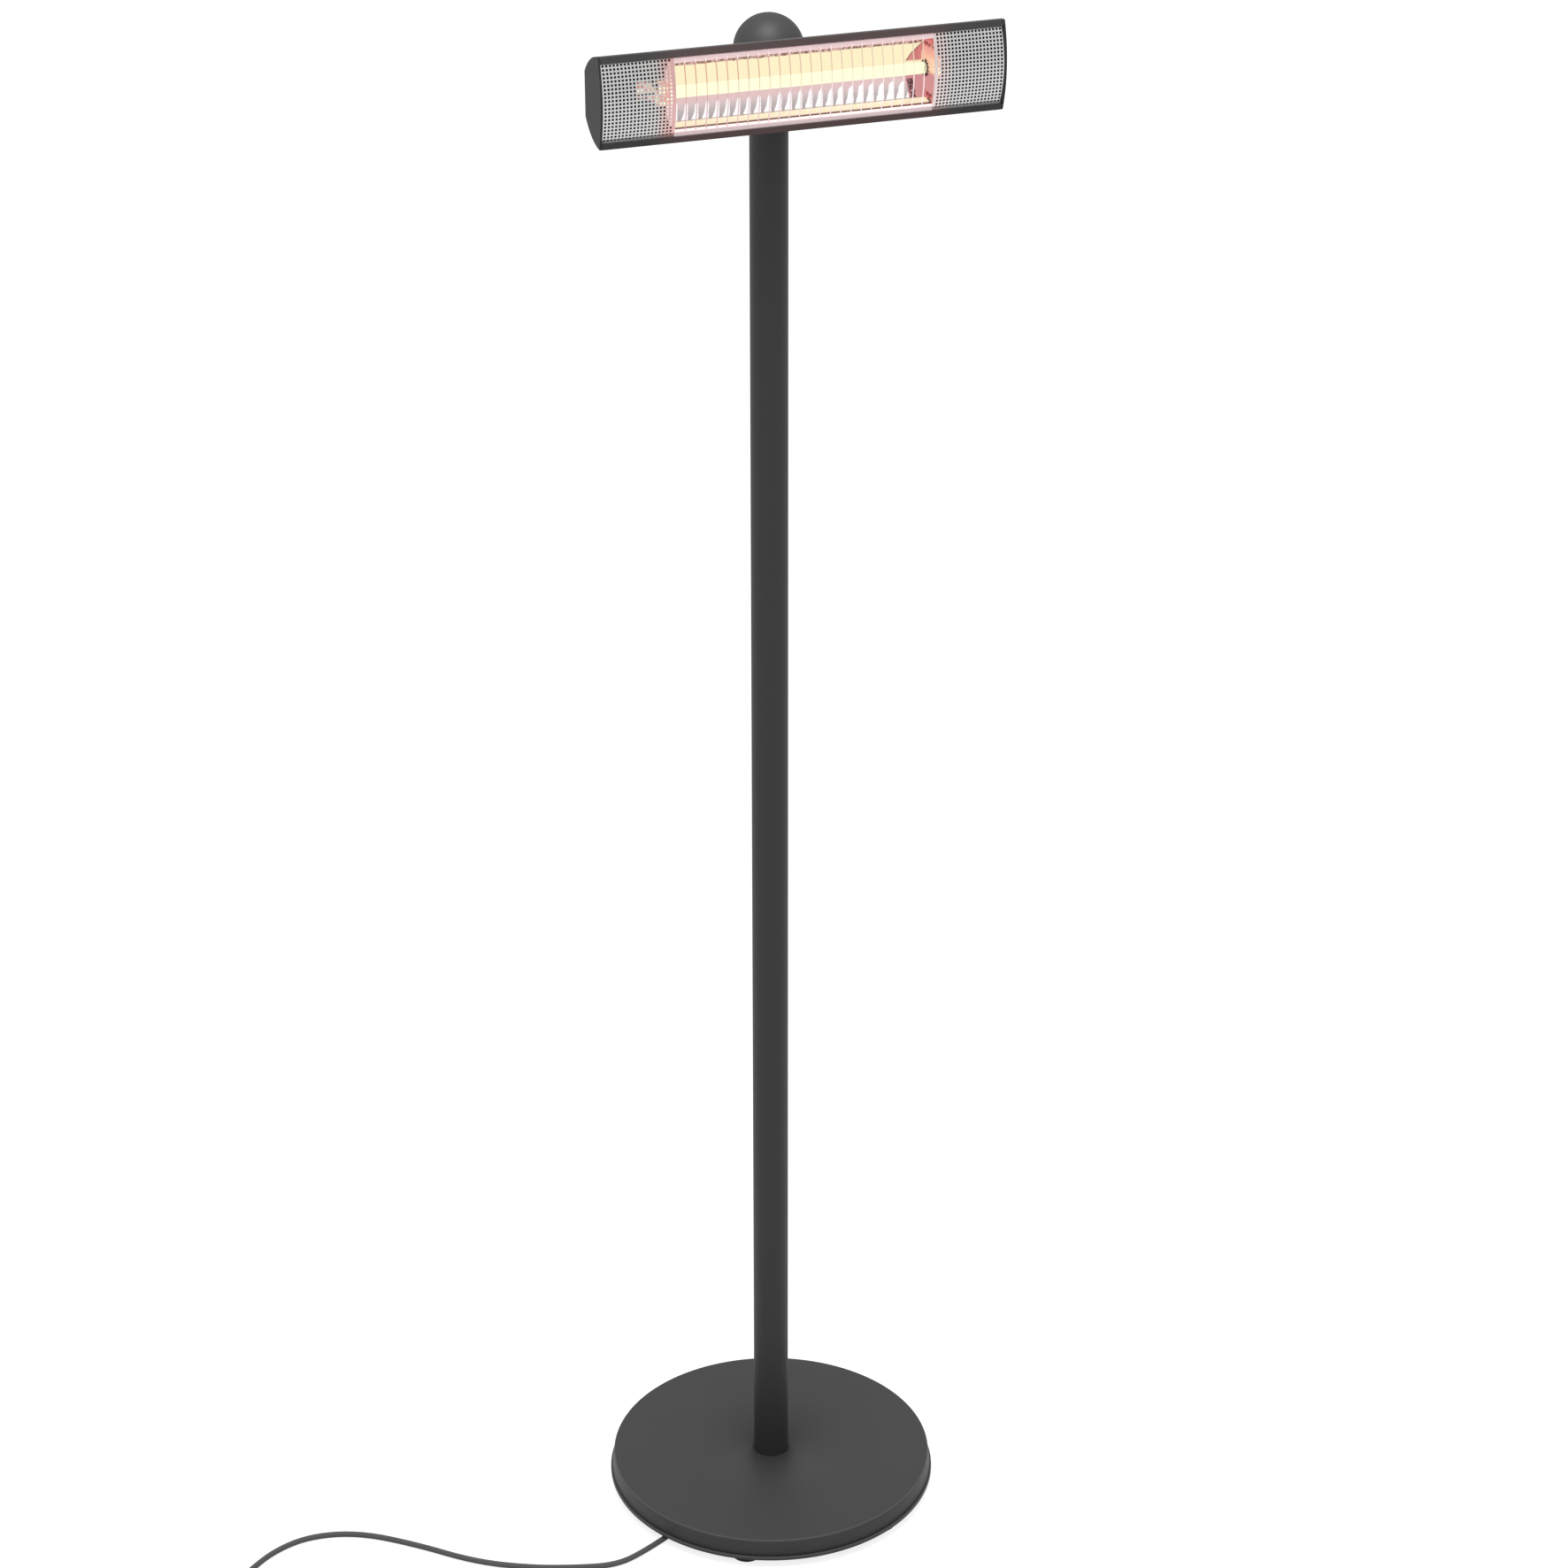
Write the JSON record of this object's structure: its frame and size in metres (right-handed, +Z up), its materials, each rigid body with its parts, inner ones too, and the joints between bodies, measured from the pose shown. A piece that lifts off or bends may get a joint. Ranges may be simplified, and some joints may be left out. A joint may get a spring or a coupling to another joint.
{
  "type": "infrared patio heater",
  "caption": "Tall infrared patio heater: a long quartz heater head with a wire guard tilts on a ball joint above a round pole and a weighted round base.",
  "frame": {"origin": "on the floor under the pole's axis, the middle of the round base", "axes": "+Z up along the pole; the heater's front faces -Y and its length runs along X"},
  "size_m": [1.084, 0.4562, 2.1104],
  "materials": {
    "painted_base": "fine satin powder coat",
    "painted_pole": "fine satin powder coat",
    "painted_ball": "satin powder coat",
    "painted_housing": "fine satin powder coat",
    "cap_plastic": "fine matt mould grain",
    "cast_iron": "rough cast",
    "foot_rubber": "matt",
    "zinc_screws": "zinc plated",
    "plain_steel": "zinc plated sheet",
    "black_plastic": "matt moulded",
    "cord_sheath": "matt sheath",
    "brass_pins": "bright",
    "turned_aluminium": "turned",
    "bright_grille": "bright rolled stainless",
    "mirror_reflector": "polished",
    "quartz_glass": "clear",
    "hot_filament": "glowing",
    "spring_steel": "plain",
    "ceramic": "unglazed ceramic"
  },
  "bodies": {
    "root": {"ball_lower": "painted_ball", "ball_upper": "painted_ball", "base_cover": "painted_base", "base_plate": "painted_base", "base_weight": "cast_iron", "cable_gland": "black_plastic", "coil_tie": "cord_sheath", "cord_boot": "cord_sheath", "cord_coil": "cord_sheath", "disc_springs": "zinc_screws", "flange_bolts": "zinc_screws", "foot_screws": "zinc_screws", "friction_washers": "black_plastic", "gland_screws": "zinc_screws", "hinge_bolt": "zinc_screws", "hinge_nut": "zinc_screws", "hinge_washers": "zinc_screws", "hinge_yoke": "turned_aluminium", "mains_cord": "cord_sheath", "plug_body": "cord_sheath", "plug_pins": "brass_pins", "pole": "painted_pole", "pole_flange": "plain_steel", "rubber_feet": "foot_rubber", "supply_lead": "cord_sheath", "tip_over_switch": "black_plastic", "tip_switch_screws": "zinc_screws"},
    "head": {"tilt_arm": "painted_housing", "arm_bolts": "zinc_screws", "backing_plate": "plain_steel", "housing": "painted_housing", "end_cap_left": "cap_plastic", "end_cap_right": "cap_plastic", "cap_screws": "zinc_screws", "front_grille": "bright_grille", "guard_wires": "bright_grille", "reflector": "mirror_reflector", "reflector_end_left": "mirror_reflector", "reflector_end_right": "mirror_reflector", "quartz_tube": "quartz_glass", "filament": "hot_filament", "lamp_spring_left": "spring_steel", "lamp_spring_right": "spring_steel", "lamp_holder_left": "ceramic", "lamp_holder_right": "ceramic", "holder_bracket_left": "plain_steel", "holder_bracket_right": "plain_steel", "lead_grommet": "foot_rubber", "head_lead": "cord_sheath", "terminal_block": "ceramic", "lamp_leads": "cord_sheath", "switch_frame": "black_plastic"},
    "rocker": {"rocker": "black_plastic"}
  },
  "joints": [
    {"name": "head_tilt", "type": "hinge", "parent": "root", "child": "head", "pos_m": [0, 0, 2.0672], "axis": [1, 0, 0], "range_deg": [-10, 35]},
    {"name": "rocker_tip", "type": "hinge", "parent": "head", "child": "rocker", "pos_m": [0.2, -0.0715, 2.0547], "axis": [1, 0, 0], "range_deg": [0, 20]}
  ]
}
